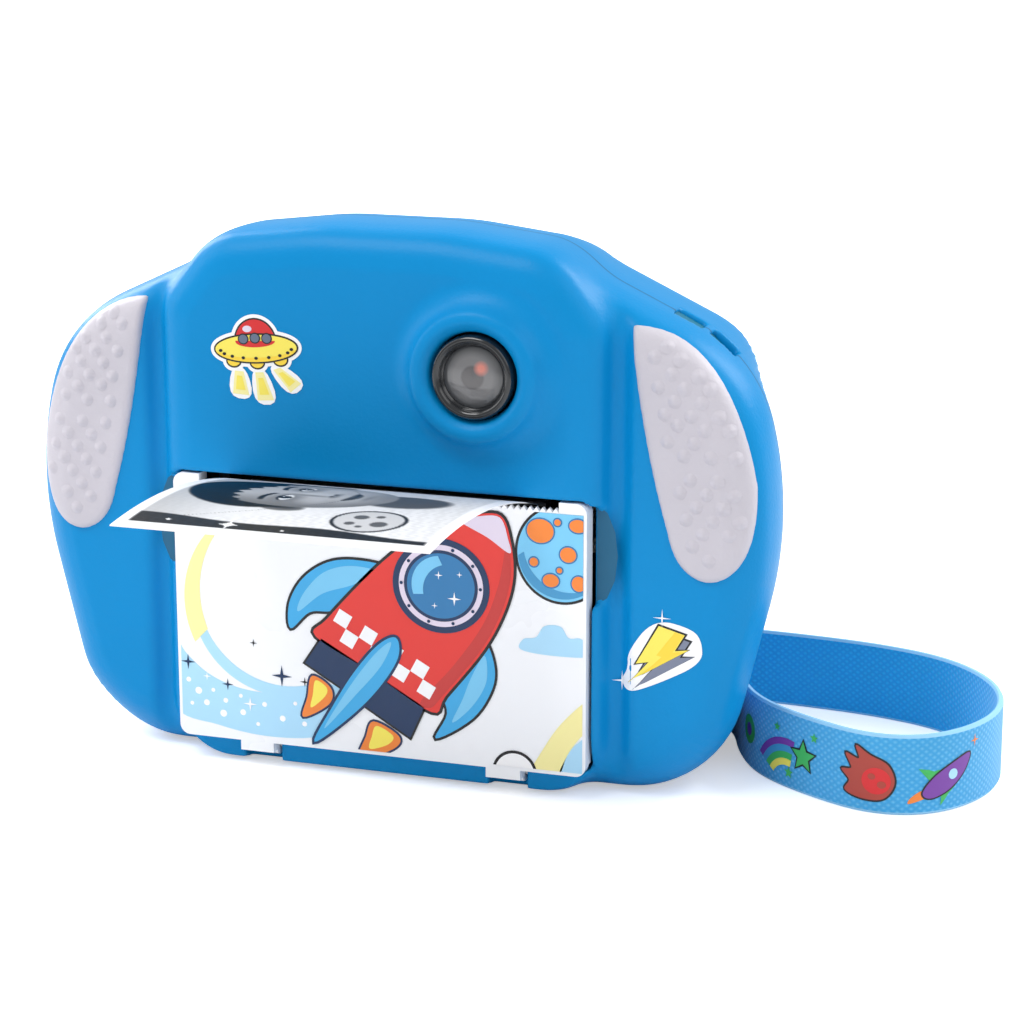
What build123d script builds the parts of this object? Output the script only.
"""Kids' instant-print camera with a thermal printer, as separate bench-apart pieces.

Lengths are in millimetres. X runs to the right seen from the front, -Y faces the
person being photographed and Z is up. Depths are drawn from a plane 31 mm behind the
front face, and write() moves every piece so that the origin lies on the underside,
half way between the front face and the back face.
"""
from build123d import *
import os
from math import cos, hypot, pi, radians, sin, tan

os.makedirs("parts", exist_ok=True)

# ---------------------------------------------------------------- driving dimensions
WALL = 2.0                     # shell thickness
FACE_Y = -31.0                 # front face of the raised centre panel
BACK_Y = 26.0                  # back face of the raised centre panel
MID_SHIFT = -(FACE_Y + BACK_Y) / 2    # brings mid depth to the origin
PARTING_Y = -14.0              # where the two shells meet, at the widest outline

# outlines in the XZ plane, right half only: corner (x, z) and its radius
EAR_CORNERS = [(61.1, 0.0), (73.6, 52.0), (66.6, 81.5), (30.0, 98.6)]
EAR_RADII = [22, 70, 27, 25]
PANEL_CORNERS = [(43.3, 0.0), (43.3, 88.0), (33.5, 100.4), (12.0, 103.0)]
PANEL_RADII = [13, 9, 14, 60]
# depth sections: (y, how far the sides are drawn in, the same for the shoulders and top,
# height of the lower edge)
EAR_SECTIONS = [
    (-27, 7.6, 7.6, 9.0), (-26, 4.8, 4.0, 6.0), (-23.3, 1.6, 1.4, 2.6), (-19.5, 0.3, 0.3, 0.3),
    (-14, 0.1, 0.1, -0.4), (-8, 1.8, 0.3, -0.4), (0, 4.9, 1.1, -0.4), (6, 7.2, 2.8, -0.4),
    (10, 8.8, 4.4, -0.4), (15, 11.0, 7.0, -0.2), (20, 14.6, 11.0, 2.2),
    (23, 18.2, 15.5, 6.5), (24, 20.8, 19.0, 10.0),
]
PANEL_SECTIONS = [
    (-31, 7.0, 7.0, 6.6), (-30.2, 3.8, 3.8, 3.4), (-28, 1.2, 1.2, 0.8), (-24, 0.2, 0.2, -0.4),
    (-14, 0.2, 0.2, -0.4), (-8, 0.8, 0.8, -0.4), (0, 2.8, 2.8, -0.4), (5, 4.2, 4.2, -0.4),
    (10, 5.5, 5.5, -0.4), (16, 7.1, 7.1, -0.3), (21, 8.8, 8.8, 1.2), (24.5, 10.6, 10.6, 4.6),
    (26, 12.6, 12.6, 8.4),
]

DOOR_WIDTH = 80.0
DOOR_BOTTOM = 5.1
DOOR_TOP = 56.0
DOOR_FRONT_Y = -30.8
DOOR_THICK = 2.2
DOOR_GAP = 0.4
DOOR_CORNER = 2.0
HINGE_Y = -27.2
HINGE_Z = 3.9
HINGE_PIN_R = 0.7
KNUCKLE_X = 24.3               # middle of each hinge arm
KNUCKLE_W = 6.6
TOOTH_PITCH = 1.2
TOOTH_TIP_Z = 54.9
TOOTH_DEPTH = 0.8
TOOTH_SPAN = 34.8              # half width of the serrated stretch

PLATEN_Y = -24.2
PLATEN_Z = 49.4
PLATEN_R = 3.6
PLATEN_HALF = 28.8
SHAFT_R = 1.5
GEAR_MODULE = 0.5
PLATEN_TEETH = 16
IDLER_TEETH = 24
PINION_TEETH = 10
GEAR_X = 37.4                  # middle of the gear train's plane
GEAR_W = 2.4

PAPER_WIDTH = 57.0
PAPER_THICK = 0.2
PAPER_OUT = 50.0               # length of print outside the door
ROLL_R = 11.4
ROLL_Y = -8.4
ROLL_Z = 20.0

LENS_X = 19.8
LENS_Z = 78.2
LENS_RING_R = 12.8

STRAP_W = 15.0
STRAP_T = 1.2


# ---------------------------------------------------------------- helpers
def write(name, *shapes):
    """One file per piece, moved to the mid-depth origin."""
    solids = [s for shape in shapes for s in shape.solids()]
    moved = [Pos(0, MID_SHIFT, 0) * s for s in solids]
    piece = moved[0] if len(moved) == 1 else Compound(children=moved)
    piece.label = name
    export_step(piece, f"parts/{name}.step")


def box(x0, x1, y0, y1, z0, z1):
    return Pos((x0 + x1) / 2, (y0 + y1) / 2, (z0 + z1) / 2) * Box(x1 - x0, y1 - y0, z1 - z0)


def rod_x(x0, x1, y, z, r):
    return Pos((x0 + x1) / 2, y, z) * Rot(0, 90, 0) * Cylinder(r, x1 - x0)


def rod_y(x, z, y0, y1, r):
    return Pos(x, (y0 + y1) / 2, z) * Rot(90, 0, 0) * Cylinder(r, y1 - y0)


def rod_z(x, y, z0, z1, r):
    return Pos(x, y, (z0 + z1) / 2) * Cylinder(r, z1 - z0)


def prism_y(face, y0, y1):
    """Face drawn on XZ axes, pushed from y0 to y1."""
    plane = Plane((0, y1, 0), x_dir=(1, 0, 0), z_dir=(0, -1, 0))
    return extrude(plane * face, amount=y1 - y0)


def both_sides(shape):
    return shape + mirror(shape, Plane.YZ)


def draw_in(corners, sides, tops, lower_edge):
    """Corners of the closed outline with its sides, tops and lowest edge moved in."""
    count = len(corners)
    lines = []
    for i, (x0, z0) in enumerate(corners):
        x1, z1 = corners[(i + 1) % count]
        length = hypot(x1 - x0, z1 - z0)
        ux, uz = (x1 - x0) / length, (z1 - z0) / length
        if z0 == 0 and z1 == 0:
            shift = lower_edge
        else:
            shift = tops if abs(ux) > abs(uz) else sides
        lines.append((x0 - uz * shift, z0 + ux * shift, ux, uz))
    moved = []
    for i in range(count):
        px, pz, ux, uz = lines[i - 1]
        qx, qz, vx, vz = lines[i]
        t = ((qx - px) * vz - (qz - pz) * vx) / (ux * vz - uz * vx)
        moved.append((px + t * ux, pz + t * uz))
    return moved


def body_form(corners, radii, sections, skin):
    """Smooth form through the depth sections, made smaller all round by skin."""
    ys = [s[0] for s in sections]
    middle, half = (ys[0] + ys[-1]) / 2, (ys[-1] - ys[0]) / 2
    full = corners + [(-x, z) for x, z in reversed(corners)]
    full_radii = radii + list(reversed(radii))
    faces = []
    for y, sides, tops, lower in sections:
        outline = draw_in(full, sides + skin, tops + skin, lower + skin)
        rounds = [max(r - max(sides, tops) - skin, 1.5) for r in full_radii]
        wire = Wire(FilletPolyline(*outline, radius=rounds, close=True).edges())
        place = middle + (y - middle) * (half - skin) / half
        faces.append(Plane((0, place, 0), x_dir=(1, 0, 0), z_dir=(0, -1, 0)) * Face(wire))
    return loft(faces)


def rounded(x0, x1, z0, z1, r):
    return Pos((x0 + x1) / 2, (z0 + z1) / 2) * RectangleRounded(x1 - x0, z1 - z0, r)


def gear(teeth, width, bore, x, y, z, turn=0.0):
    """Spur gear across X with straight-flanked teeth, slightly thinned for running."""
    pitch_r = GEAR_MODULE * teeth / 2
    tip_r, root_r = pitch_r + 0.9 * GEAR_MODULE, pitch_r - 1.2 * GEAR_MODULE
    step = 2 * pi / teeth
    points = []
    for i in range(teeth):
        a = i * step + turn
        for angle, r in ((-0.34, root_r), (-0.105, tip_r), (0.105, tip_r), (0.34, root_r)):
            points.append((r * cos(a + angle * step), r * sin(a + angle * step)))
    profile = make_face(Polyline(*points, close=True)) - Circle(bore)
    plane = Plane((x - width / 2, y, z), x_dir=(0, 1, 0), z_dir=(1, 0, 0))
    return extrude(plane * profile, amount=width)


# ---------------------------------------------------------------- shells
ears_outer = body_form(EAR_CORNERS, EAR_RADII, EAR_SECTIONS, 0)
panel_outer = body_form(PANEL_CORNERS, PANEL_RADII, PANEL_SECTIONS, 0)
below_floor = box(-100, 100, -60, 60, -20, 0)
outer = ears_outer + panel_outer - below_floor
inner = body_form(EAR_CORNERS, EAR_RADII, EAR_SECTIONS, WALL)
inner += body_form(PANEL_CORNERS, PANEL_RADII, PANEL_SECTIONS, WALL)
inner -= box(-100, 100, -60, 60, -20, WALL)
skin = outer - inner
front_half = box(-100, 100, -60, PARTING_Y, -5, 120)
back_half = box(-100, 100, PARTING_Y, 60, -5, 120)

SCREWS = [(x * side, z) for x, z in ((55, 24), (58.5, 62), (33, 92.5)) for side in (-1, 1)]
SCREW_HEAD_Y = -3.0            # the heads sit deep in the rear shell's bosses
SCREW_TIP_Y = -21.0


def grip_outline():
    """Tear-drop of the right-hand grip, narrow end up beside the centre panel."""
    tip, side, foot, inner_low = (46.4, 87.8), (69.2, 60.0), (61.0, 42.4), (53.6, 51.0)
    edges = [
        ThreePointArc(tip, (61.2, 80.3), side),
        ThreePointArc(side, (67.6, 47.2), foot),
        ThreePointArc(foot, (56.2, 45.0), inner_low),
        ThreePointArc(inner_low, (49.4, 68.0), tip),
    ]
    return make_face(edges)


GRIP_PROUD = 0.9
GRIP_DEPTH = 0.9
grip_zone = prism_y(grip_outline(), -45, PARTING_Y - 0.8)
grip_layer = body_form(EAR_CORNERS, EAR_RADII, EAR_SECTIONS, -GRIP_PROUD)
grip_layer -= body_form(EAR_CORNERS, EAR_RADII, EAR_SECTIONS, GRIP_DEPTH)
right_grip = (grip_layer & grip_zone) - panel_outer
left_grip = mirror(right_grip, Plane.YZ)
write("right_grip", right_grip)
write("left_grip", left_grip)


def front_shell():
    shell = skin & front_half
    # raised ring round the lens, with a flat rim inside it
    ring = revolve(
        Plane((LENS_X, 0, LENS_Z), x_dir=(1, 0, 0), z_dir=(0, 0, 1))
        * make_face(Polyline((7.9, -28.5), (13.2, -28.5), (13.2, -31), (11.4, -34.4),
                             (10.2, -35.2), (9.2, -35.0), (8.7, -33.6), (7.9, -33.6),
                             close=True)),
        axis=Axis((LENS_X, 0, LENS_Z), (0, 1, 0)))
    shell = shell - rod_y(LENS_X, LENS_Z, -40, -24, 12.0) + ring
    # bosses for the case screws, trimmed by the outer form
    for x, z in SCREWS:
        shell += rod_y(x, z, -40, PARTING_Y - 0.2, 3.2) & outer
    # pads behind the finger notches
    shell += both_sides(box(38.6, 49, -26.5, -22.5, 32, 58)) & outer
    # door opening, a recessed sill with the hinge lugs, finger notches
    opening = rounded(-DOOR_WIDTH / 2 - DOOR_GAP, DOOR_WIDTH / 2 + DOOR_GAP,
                      4.5, DOOR_TOP + DOOR_GAP, DOOR_CORNER + DOOR_GAP)
    shell -= prism_y(opening, -45, -20)
    shell -= box(-DOOR_WIDTH / 2 - DOOR_GAP, DOOR_WIDTH / 2 + DOOR_GAP, -45, -28.1, -5, 10)
    shell += box(-41, 41, -28.1, -25.6, 0.4, 4.95) & outer
    notch = prism_y(Pos(40.4, 46.0) * Ellipse(4.0, 9.1), -45, -24.5)
    shell -= both_sides(notch)
    arm = KNUCKLE_W / 2 + 0.4
    for side in (-1, 1):
        x = side * KNUCKLE_X
        shell -= box(x - arm, x + arm, -45, -25.0, -5, 6.2)
    shell -= rod_x(-31, 31, HINGE_Y, HINGE_Z, HINGE_PIN_R + 0.03)
    shell -= box(-19, 19, -28.1, -26.0, 2.2, 5.5)
    for x, z in SCREWS:
        shell -= rod_y(x, z, SCREW_TIP_Y - 0.5, 1, 1.15)
    shell -= right_grip
    shell -= left_grip
    # lanyard slots on the right shoulder and a groove along the parting line
    for slot in lanyard_slots():
        shell -= slot
    return shell - parting_groove()


def lanyard_slots():
    """Two short slots through the shell across the parting line, with a bridge between."""
    slots = []
    for x, z, lean in ((54.2, 88.0, 27), (60.4, 83.4, 45)):
        slots.append(Pos(x, PARTING_Y + 0.9, z) * Rot(0, lean, 0) * Box(4.6, 2.6, 12))
    return slots


def parting_groove():
    """Shallow line cut round the body where the two shells meet."""
    slab = box(-100, 100, PARTING_Y - 0.25, PARTING_Y + 0.25, -5, 120)
    small = body_form(EAR_CORNERS, EAR_RADII, EAR_SECTIONS, 0.4)
    small += body_form(PANEL_CORNERS, PANEL_RADII, PANEL_SECTIONS, 0.4)
    return slab - small - box(-60, 60, -20, 0, -5, 0.4)


LCD_W, LCD_H, LCD_Z = 44.0, 34.0, 64.0
BUTTONS = {                     # name: (x, z, cap radius)
    "shutter_button": (-38.0, 65.0, 6.0),
    "ok_button": (-38.0, 44.0, 3.2),
    "print_button": (38.0, 66.0, 4.5),
    "play_button": (38.0, 54.0, 4.5),
    "power_button": (38.0, 42.0, 4.5),
}
PAD_X, PAD_Z, PAD_R, PAD_HOLE = -38.0, 44.0, 8.6, 3.6
SPEAKER_X, SPEAKER_Z = -18.0, 24.0
PORT_X, PORT_Z, PORT_W, PORT_H = 18.0, 24.0, 18.0, 12.0
COVER_PIN_X, COVER_PIN_Y = PORT_X - PORT_W / 2 + 0.75, 25.15
LUG_X, LUG_Y = 12.0, 29.0


def rear_shell():
    shell = skin & back_half
    for x, z in SCREWS:
        shell += rod_y(x, z, PARTING_Y + 0.2, 40, 3.6) & outer
    for x, z in SCREWS:
        shell -= rod_y(x, z, PARTING_Y - 1, 40, 1.3)
        shell -= rod_y(x, z, SCREW_HEAD_Y, 40, 2.5)
    # screen opening with a seat for the window, then the button holes
    shell -= prism_y(rounded(-LCD_W / 2, LCD_W / 2, LCD_Z - LCD_H / 2, LCD_Z + LCD_H / 2, 3),
                     24.6, 40)
    shell -= prism_y(rounded(-20.5, 20.5, LCD_Z - 15.5, LCD_Z + 15.5, 2), 18, 40)
    for name, (x, z, r) in BUTTONS.items():
        if name != "ok_button":
            shell -= rod_y(x, z, 18, 40, r + 0.3)
    shell -= rod_y(PAD_X, PAD_Z, 18, 40, PAD_R + 0.3)
    # speaker grille and the port recess
    for i in range(-2, 3):
        for j in range(-2, 3):
            if abs(i) + abs(j) < 4:
                shell -= rod_y(SPEAKER_X + 3 * i, SPEAKER_Z + 3 * j, 18, 40, 0.8)
    shell -= prism_y(rounded(PORT_X - PORT_W / 2 - 0.3, PORT_X + PORT_W / 2 + 0.3,
                             PORT_Z - PORT_H / 2 - 0.3, PORT_Z + PORT_H / 2 + 0.3, 2), 18, 40)
    shell -= rod_z(COVER_PIN_X, COVER_PIN_Y, PORT_Z - 6.9, PORT_Z + 6.9, 0.5)
    # square corners on the hinge side, so that the cover's ends clear them when it swings
    shell -= box(PORT_X - PORT_W / 2 - 0.4, PORT_X - PORT_W / 2 + 1.8, 18, 40,
                 PORT_Z - PORT_H / 2 - 0.3, PORT_Z + PORT_H / 2 + 0.3)
    # lug for the strap ring: two arms with an upright bar between them
    lug = box(LUG_X - 1.5, LUG_X + 1.5, 20, LUG_Y + 1.0, 10.6, 12.6)
    lug += box(LUG_X - 1.5, LUG_X + 1.5, 20, LUG_Y + 1.0, 3.4, 5.4)
    lug += rod_z(LUG_X, LUG_Y, 4, 12, 1.0)
    shell += lug - inner
    for slot in lanyard_slots():
        shell -= slot
    return shell - parting_groove()


write("front_shell", front_shell())
write("rear_shell", rear_shell())

# ---------------------------------------------------------------- lens group
bezel = rod_y(LENS_X, LENS_Z, -34.9, -30.2, 7.6) - rod_y(LENS_X, LENS_Z, -40, -33.2, 5.6)
bezel -= rod_y(LENS_X, LENS_Z, -40, -20, 4.8)
write("lens_bezel", bezel)
write("lens_window", rod_y(LENS_X, LENS_Z, -34.2, -33.2, 5.55))
barrel = rod_y(LENS_X, LENS_Z, -30.0, -21.0, 4.6) - rod_y(LENS_X, LENS_Z, -30.1, -20.9, 3.2)
write("lens_barrel", barrel)
dome_glass = Pos(LENS_X, -26.0, LENS_Z) * Sphere(4.0) & rod_y(LENS_X, LENS_Z, -31, -27.2, 3.15)
write("lens_element", dome_glass)
write("camera_board", box(LENS_X - 9, LENS_X + 9, -21.0, -19.8, LENS_Z - 9, LENS_Z + 9))
ribbon = box(LENS_X - 4, LENS_X + 4, -19.6, 15.8, 88.0, 88.3)
ribbon += box(LENS_X - 4, LENS_X + 4, -19.8, -19.5, 84, 88.3)
ribbon += box(LENS_X - 4, LENS_X + 4, 15.5, 15.8, 70, 88.3)
write("camera_ribbon", ribbon)


# ---------------------------------------------------------------- paper door
def paper_door():
    half = DOOR_WIDTH / 2
    back_y = DOOR_FRONT_Y + DOOR_THICK
    slab = prism_y(rounded(-half, half, DOOR_BOTTOM, DOOR_TOP, DOOR_CORNER),
                   DOOR_FRONT_Y, back_y)
    rim = prism_y(rounded(-half, half, DOOR_BOTTOM, DOOR_TOP, DOOR_CORNER)
                  - rounded(-half + 1.6, half - 1.6, DOOR_BOTTOM + 1.6, DOOR_TOP - 1.6, 1.0),
                  back_y, back_y + 1.4)
    rim -= box(-50, 50, back_y + 0.01, -20, 0, 7.0)
    door = slab + rim
    # lower the top edge between the corners and leave a row of teeth on the front lip
    valley = TOOTH_TIP_Z - TOOTH_DEPTH
    door -= box(-TOOTH_SPAN, TOOTH_SPAN, DOOR_FRONT_Y - 1, back_y + 3, valley, 60)
    points = [(-TOOTH_SPAN, valley - 0.5)]
    teeth = int(2 * TOOTH_SPAN / TOOTH_PITCH)
    for i in range(teeth):
        x = -TOOTH_SPAN + i * TOOTH_PITCH
        points += [(x, valley), (x + TOOTH_PITCH / 2, TOOTH_TIP_Z)]
    points += [(TOOTH_SPAN, valley), (TOOTH_SPAN, valley - 0.5)]
    saw = make_face(Polyline(*points, close=True))
    door += prism_y(saw, DOOR_FRONT_Y, DOOR_FRONT_Y + 0.9)
    # hinge arms
    for side in (-1, 1):
        x0, x1 = side * KNUCKLE_X - KNUCKLE_W / 2, side * KNUCKLE_X + KNUCKLE_W / 2
        door += box(x0, x1, DOOR_FRONT_Y, HINGE_Y, HINGE_Z - 0.7, DOOR_BOTTOM + 3)
        door += rod_x(x0, x1, HINGE_Y, HINGE_Z, 1.9)
    door -= rod_x(-40, 40, HINGE_Y, HINGE_Z, HINGE_PIN_R + 0.05)
    # brackets that carry the platen bushes
    for side in (-1, 1):
        x0, x1 = sorted((side * 30.2, side * 32.2))
        door += box(x0, x1, back_y - 0.5, PLATEN_Y + 3.2, PLATEN_Z - 6.0, PLATEN_Z + 3.0)
    door -= rod_x(-33, 33, PLATEN_Y, PLATEN_Z, 2.5)
    door -= rod_x(GEAR_X - 1.8, GEAR_X + 1.8, PLATEN_Y, PLATEN_Z, 4.9)
    return door


write("paper_door", paper_door())
pins = [rod_x(side * KNUCKLE_X - 6.2, side * KNUCKLE_X + 6.2, HINGE_Y, HINGE_Z, HINGE_PIN_R)
        for side in (-1, 1)]
write("hinge_pins", *pins)

# ---------------------------------------------------------------- platen and its drive
platen = rod_x(-PLATEN_HALF, PLATEN_HALF, PLATEN_Y, PLATEN_Z, PLATEN_R)
write("platen_roller", platen - rod_x(-40, 40, PLATEN_Y, PLATEN_Z, SHAFT_R))
write("platen_shaft", rod_x(-33.4, GEAR_X + GEAR_W / 2 + 0.6, PLATEN_Y, PLATEN_Z, SHAFT_R))
bushes = []
for side in (-1, 1):
    x0, x1 = sorted((side * 30.2, side * 32.8))
    bushes.append(rod_x(x0, x1, PLATEN_Y, PLATEN_Z, 2.5)
                  - rod_x(x0 - 1, x1 + 1, PLATEN_Y, PLATEN_Z, SHAFT_R + 0.05))
write("platen_bushes", *bushes)

IDLER_Y = PLATEN_Y + GEAR_MODULE * (PLATEN_TEETH + IDLER_TEETH) / 2
MOTOR_Y = IDLER_Y + GEAR_MODULE * (IDLER_TEETH + PINION_TEETH) / 2
# each follower is turned so that a gap faces the tooth it meets
write("platen_gear", gear(PLATEN_TEETH, GEAR_W, SHAFT_R, GEAR_X, PLATEN_Y, PLATEN_Z))
write("idler_gear", gear(IDLER_TEETH, GEAR_W, 1.05, GEAR_X, IDLER_Y, PLATEN_Z, pi / IDLER_TEETH))
# the idler shows its half-turned teeth to the motor too, so the pinion keeps a tooth there
write("motor_pinion", gear(PINION_TEETH, GEAR_W, 0.75, GEAR_X, MOTOR_Y, PLATEN_Z))
motor = rod_x(16, 33.0, MOTOR_Y, PLATEN_Z, 6.0)
write("feed_motor", motor + rod_x(33.0, 34.0, MOTOR_Y, PLATEN_Z, 2.0))
write("motor_shaft", rod_x(34.1, 39.2, MOTOR_Y, PLATEN_Z, 0.75))

# ---------------------------------------------------------------- print head
HEAD_Y = -20.0
head = box(-29, 29, HEAD_Y, HEAD_Y + 1.0, 45, 53.0)
head += box(-29, 29, HEAD_Y + 1.0, HEAD_Y + 3.0, 42, 53.0)
head += rod_x(-29, 29, HEAD_Y + 2.4, 42.2, 1.6)
head -= rod_x(-40, 40, HEAD_Y + 2.4, 42.2, 0.85)
write("print_head", head)
write("head_pivot_pin", rod_x(-34.8, 34.8, HEAD_Y + 2.4, 42.2, 0.8))
leaf = box(-18, 18, -14.6, -14.2, 44, 52)
leaf += box(-18, -14, -16.2, -14.2, 51.6, 52) + box(14, 18, -16.2, -14.2, 51.6, 52)
write("head_spring", leaf)


# ---------------------------------------------------------------- chassis
def chassis():
    """Open-fronted paper bucket: two cheeks, a rounded floor and a back wall."""
    trough = box(-35.4, 35.4, -24.6, 6.0, 3.4, 46.0)
    trough -= box(-33.4, 33.4, -30, 4.4, 5.4, 60)
    trough += box(-33.4, 33.4, -3, 4.4, 5.4, 9.0)
    trough -= rod_x(-33.4, 33.4, ROLL_Y, ROLL_Z, 14.6)
    # cross beam behind the head, motor clamp and the idler's stud plate
    trough += box(-35.4, 35.4, -14.1, -12.3, 41, 54)
    trough += box(15, 35.4, -13, 5.2, 54.2, 56.5) + box(15, 35.4, -13, 5.2, 41, 44.2)
    trough -= rod_x(14, 40, MOTOR_Y, PLATEN_Z, 6.1)
    trough += box(33.4, 35.4, -16.5, -1, 41, 56.5) - rod_x(33, 36, MOTOR_Y, PLATEN_Z, 2.2)
    trough += rod_x(35.0, 39.0, IDLER_Y, PLATEN_Z, 1.0)
    trough += box(33.4, 35.4, -20.0, -14, 38, 44.5) + box(-35.4, -33.4, -20.0, -12.5, 38, 54)
    trough -= rod_x(-40, 40, HEAD_Y + 2.4, 42.2, 0.83)
    # core spindles
    for side in (-1, 1):
        x0, x1 = sorted((side * 30.4, side * 34))
        trough += rod_x(x0, x1, ROLL_Y, ROLL_Z, 2.2)
    # feet under the bucket stand on the shell's floor
    for x in (-30, 30):
        trough += box(x - 3, x + 3, -20, 2, 2.0, 3.6)
    return trough


write("chassis", chassis())

# ---------------------------------------------------------------- paper
half_paper = PAPER_WIDTH / 2
paper = rod_x(-half_paper, half_paper, ROLL_Y, ROLL_Z, ROLL_R)
write("paper_roll", paper - rod_x(-40, 40, ROLL_Y, ROLL_Z, 4.6))
core = rod_x(-half_paper, half_paper, ROLL_Y, ROLL_Z, 4.6)
write("roll_core", core - rod_x(-40, 40, ROLL_Y, ROLL_Z, 3.4))
web = box(-half_paper, half_paper, HEAD_Y - 0.3, HEAD_Y - 0.3 + PAPER_THICK, 22, PLATEN_Z)
write("paper_web", web)


def printed_strip():
    """Print from the nip over the roller, out above the teeth, then a long shallow arch."""
    turn_r = PLATEN_R + 0.4
    start = (PLATEN_Y + turn_r, PLATEN_Z)
    over = (PLATEN_Y + turn_r * cos(radians(55)), PLATEN_Z + turn_r * sin(radians(55)))
    lift = radians(18)
    leave = (PLATEN_Y + turn_r * sin(lift), PLATEN_Z + turn_r * cos(lift))
    arch_r = 135.0
    sweep_angle = (PAPER_OUT + 8.0) / arch_r
    centre = (leave[0] - arch_r * sin(lift), leave[1] - arch_r * cos(lift))

    def on_arch(angle):
        a = lift - angle
        return (centre[0] + arch_r * sin(a), centre[1] + arch_r * cos(a))

    middle, end = on_arch(sweep_angle / 2), on_arch(sweep_angle)
    path = Wire([Edge.make_three_point_arc((0, *start), (0, *over), (0, *leave)),
                 Edge.make_three_point_arc((0, *leave), (0, *middle), (0, *end))])
    profile = Plane((0, *start), x_dir=(1, 0, 0), z_dir=(0, 0, 1)) * Rectangle(
        PAPER_WIDTH, PAPER_THICK)
    strip = sweep(profile, path=path)
    print("printed strip length", round(path.length, 1), "volume over section x length",
          round(strip.volume / (PAPER_WIDTH * PAPER_THICK * path.length), 3), "end", end)
    return strip


write("paper_strip", printed_strip())

# ---------------------------------------------------------------- electronics and controls
write("main_board", box(-44, 44, 16.0, 17.6, 15, 74))
write("lcd_panel", box(-21.5, 21.5, 18.6, 21.4, LCD_Z - 16.5, LCD_Z + 16.5))
write("lcd_window", prism_y(rounded(-LCD_W / 2 + 0.1, LCD_W / 2 - 0.1, LCD_Z - LCD_H / 2 + 0.1,
                                    LCD_Z + LCD_H / 2 - 0.1, 2.9), 24.6, 26.0))
write("battery", box(-30, 12, 5, 12, 60, 88))
write("processor_can", box(-16, 8, 14.2, 16.0, 30, 50))
speaker = rod_y(SPEAKER_X, SPEAKER_Z, 20.2, 23.7, 9.5)
write("speaker", speaker)

switches = []
for name, (x, z, r) in BUTTONS.items():
    cap = rod_y(x, z, 20.4, 25.2, r)
    if name == "ok_button":
        cap = rod_y(x, z, 20.4, 25.6, r) + rod_y(x, z, 19.6, 20.4, r + 1.2)
    else:
        cap += rod_y(x, z, 20.4, 21.4, r + 1.0)
        cap += rod_y(x, z, 19.6, 20.4, 1.5)
    front_rim = cap.edges().filter_by(GeomType.CIRCLE).sort_by(Axis.Y)[-1]
    write(name, fillet(front_rim, 0.5))
    switches.append(box(x - 2.2, x + 2.2, 17.6, 18.6, z - 2.2, z + 2.2))
pad = rod_y(PAD_X, PAD_Z, 21.2, 25.0, PAD_R) + rod_y(PAD_X, PAD_Z, 20.6, 21.4, PAD_R + 1.0)
pad -= rod_y(PAD_X, PAD_Z, 18, 30, PAD_HOLE)
pad -= rod_y(PAD_X, PAD_Z, 18, 21.9, 4.8)
write("nav_pad", pad)
write("switches", *switches)

cover = prism_y(rounded(PORT_X - PORT_W / 2, PORT_X + PORT_W / 2, PORT_Z - PORT_H / 2,
                        PORT_Z + PORT_H / 2, 1.7), 24.4, 25.9)
cover -= box(0, COVER_PIN_X, 24, 27, 10, 40)
cover += rod_z(COVER_PIN_X, COVER_PIN_Y, PORT_Z - 4.4, PORT_Z + 4.4, 0.75)
cover += rod_z(COVER_PIN_X, COVER_PIN_Y, PORT_Z - 6.7, PORT_Z + 6.7, 0.45)
write("port_cover", cover)
write("usb_socket", box(PORT_X - 7.5, PORT_X + 1.5, 17.6, 23.4, PORT_Z - 1.6, PORT_Z + 1.6)
      - box(PORT_X - 7.0, PORT_X + 1.0, 18.6, 24, PORT_Z - 1.1, PORT_Z + 1.1))
write("card_socket", box(PORT_X + 3.0, PORT_X + 5.4, 17.6, 23.4, PORT_Z - 5.6, PORT_Z + 5.6)
      - box(PORT_X + 3.5, PORT_X + 4.6, 18.6, 24, PORT_Z - 5.2, PORT_Z + 5.2))

case_screws = [rod_y(x, z, SCREW_HEAD_Y, SCREW_HEAD_Y + 1.6, 2.2)
               + rod_y(x, z, SCREW_TIP_Y, SCREW_HEAD_Y, 1.05) for x, z in SCREWS]
write("case_screws", *case_screws)

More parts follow.
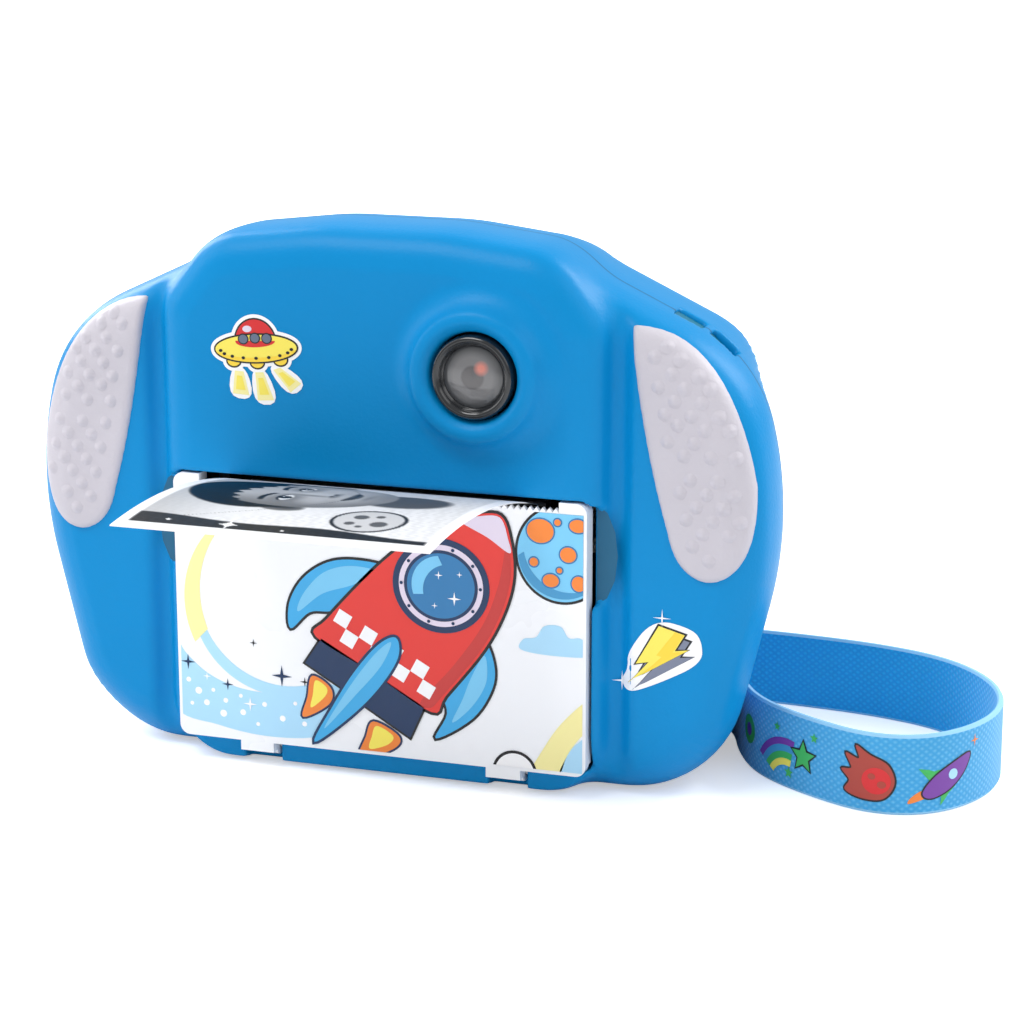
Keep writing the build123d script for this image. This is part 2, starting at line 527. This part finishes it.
# ---------------------------------------------------------------- wrist strap
CLAMP_X = 25.2
STRAP_IN = 2.0                 # how far the band's ends reach into the clamp
STRAP_ROUTE = [
    (CLAMP_X - STRAP_IN, 32.8), (36.5, 32.0), (48.5, 27.2), (56.6, 16.4), (60.6, 4.0), (66.6, -5.6),
    (77.4, -13.4), (89.0, -18.9), (98.6, -17.2), (105.6, -9.6), (109.2, 1.6), (107.8, 14.0),
    (101.6, 24.6), (92.4, 32.0), (79.6, 35.9), (66.0, 37.4), (52.0, 38.0), (38.2, 36.8),
    (CLAMP_X - STRAP_IN, 34.6),
]


def strap():
    """Flat webbing standing on its edge, along straight runs joined by tangent arcs."""
    radii = []
    for before, at, after in zip(STRAP_ROUTE, STRAP_ROUTE[1:], STRAP_ROUTE[2:]):
        run_in = Vector(at[0] - before[0], at[1] - before[1])
        run_out = Vector(after[0] - at[0], after[1] - at[1])
        turn = radians(run_in.get_angle(run_out))
        radii.append(0.45 * min(run_in.length, run_out.length) / tan(turn / 2))
    print("strap radii", [round(r, 1) for r in radii])
    path = FilletPolyline(*[(x, y, STRAP_W / 2) for x, y in STRAP_ROUTE], radius=radii)
    path = Wire(path.edges())
    start = path.position_at(0)
    profile = Plane(start, x_dir=(0, 0, 1), z_dir=path.tangent_at(0)) * Rectangle(STRAP_W, STRAP_T)
    band = sweep(profile, path=path)
    print("strap length", round(path.length, 1), "volume over section x length",
          round(band.volume / (STRAP_W * STRAP_T * path.length), 4))
    return band


band = strap()
write("strap_webbing", band)
CLAMP_BAR_Y = LUG_Y + 5.8
clamp = box(17.9, CLAMP_X, 31.0, 36.4, 0.2, 15.8)
clamp = fillet(clamp.edges().filter_by(Axis.X), 1.0)
for z0, z1 in ((2.0, 4.8), (11.2, 14.0)):
    clamp += box(LUG_X - 1.6, 18.4, CLAMP_BAR_Y - 1.5, CLAMP_BAR_Y + 1.5, z0, z1)
clamp += rod_z(LUG_X, CLAMP_BAR_Y, 4.0, 12.0, 1.0)
write("strap_clamp", clamp - band)
write("strap_ring", Pos(LUG_X, (LUG_Y + CLAMP_BAR_Y) / 2, 8.0) * Torus(4.6, 0.6))
